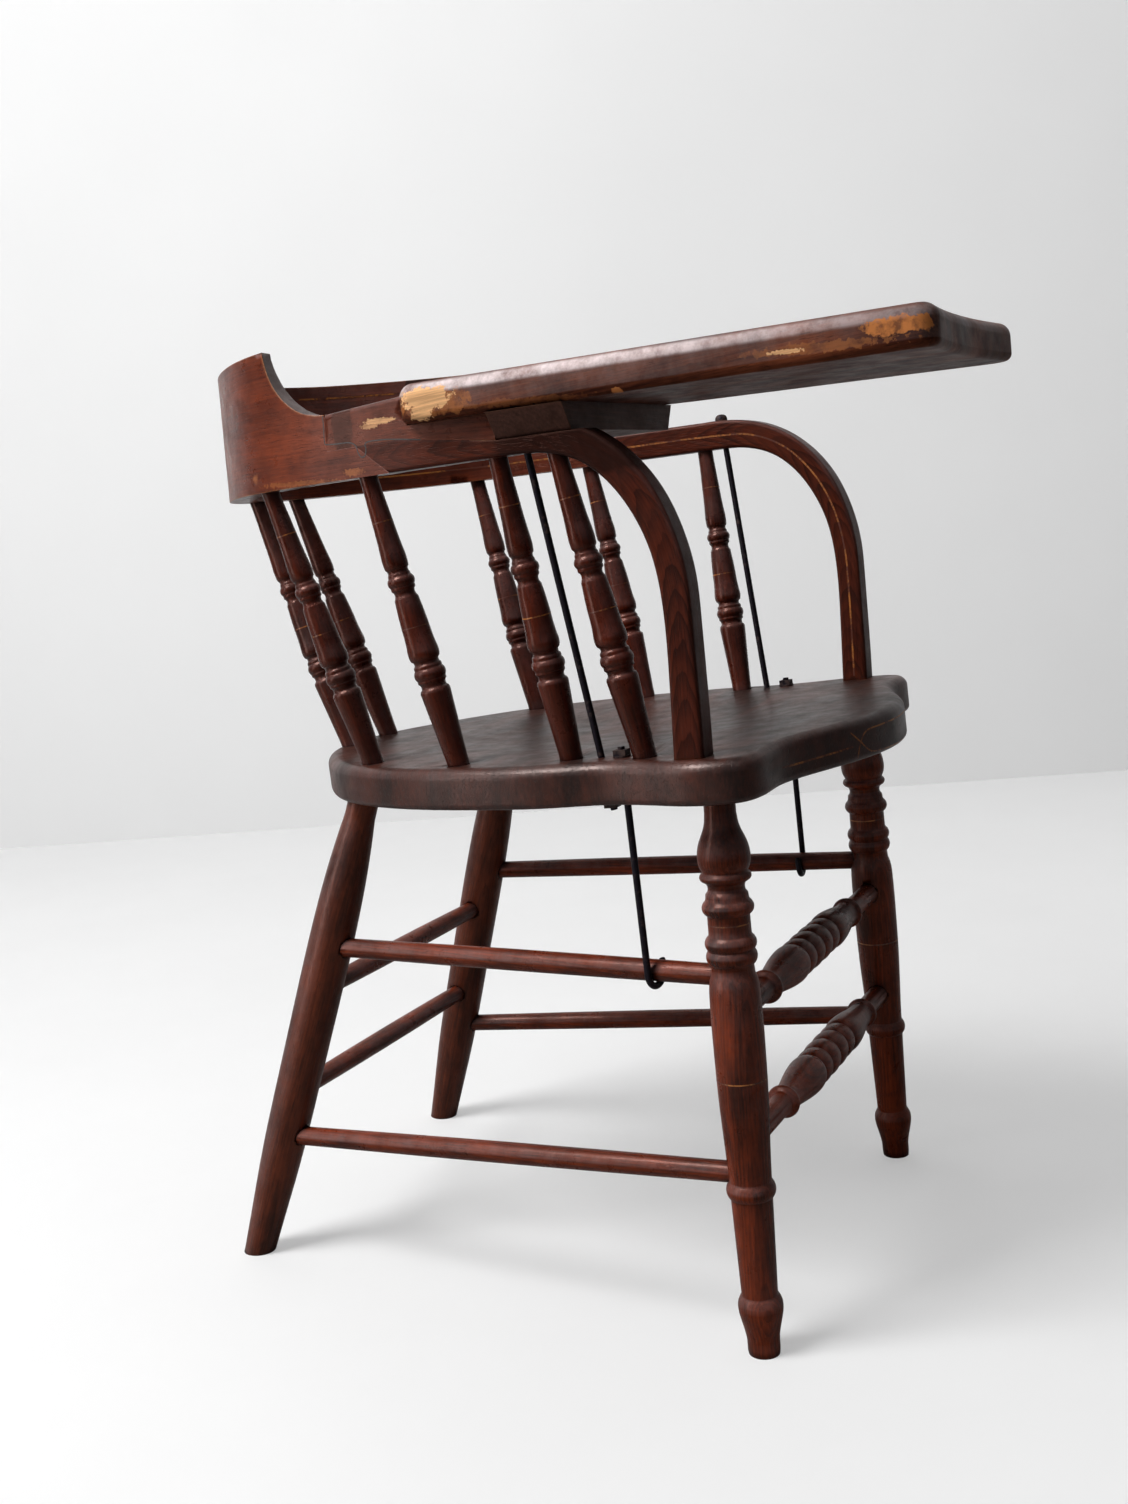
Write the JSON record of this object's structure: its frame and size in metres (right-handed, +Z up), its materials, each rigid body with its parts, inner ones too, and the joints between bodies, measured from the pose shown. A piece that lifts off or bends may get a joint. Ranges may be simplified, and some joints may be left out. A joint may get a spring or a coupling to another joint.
{
  "type": "writing arm windsor chair",
  "caption": "Writing arm windsor chair with a broad tablet on the right arm, turned legs and spindles, bent arms, a shaped plank seat and iron tie rods.",
  "frame": {"origin": "on the floor below the middle of the chair's bounding box", "axes": "+Z up, -Y the way the chair faces, -X the sitter's right hand, where the tablet is"},
  "size_m": [0.4568, 0.6642, 0.7491],
  "materials": {
    "turned_wood": "worn satin varnish over a dark red-brown stain",
    "rail_wood": "worn satin varnish over a dark red-brown stain",
    "seat_wood": "rubbed varnish, greyer where it was sat on",
    "tablet_wood": "worn varnish, darker below",
    "iron": "blackened, a little rusty"
  },
  "bodies": {
    "root": {"front_leg_right": "turned_wood", "front_leg_left": "turned_wood", "rear_leg_right": "turned_wood", "rear_leg_left": "turned_wood", "side_stretcher_upper_right": "turned_wood", "side_stretcher_lower_right": "turned_wood", "side_stretcher_upper_left": "turned_wood", "side_stretcher_lower_left": "turned_wood", "rear_stretcher_upper": "turned_wood", "rear_stretcher_lower": "turned_wood", "front_stretcher_upper": "turned_wood", "front_stretcher_lower": "turned_wood", "spindle_right_rear": "turned_wood", "spindle_right_mid_rear": "turned_wood", "spindle_right_mid_front": "turned_wood", "spindle_right_front": "turned_wood", "spindle_left_rear": "turned_wood", "spindle_left_mid_rear": "turned_wood", "spindle_left_mid_front": "turned_wood", "spindle_left_front": "turned_wood", "spindle_tablet_support": "turned_wood", "arm_right": "rail_wood", "arm_left": "rail_wood", "crest": "rail_wood", "arm_filler": "rail_wood", "seat_board_rear": "seat_wood", "seat_board_middle": "seat_wood", "seat_board_front": "seat_wood", "writing_tablet": "tablet_wood", "tablet_cleat": "tablet_wood", "arm_rod_right": "iron", "arm_rod_left": "iron", "hook_rod_right": "iron", "hook_rod_left": "iron", "seat_washers": "iron", "seat_nuts": "iron", "cap_nuts": "iron"}
  },
  "joints": []
}
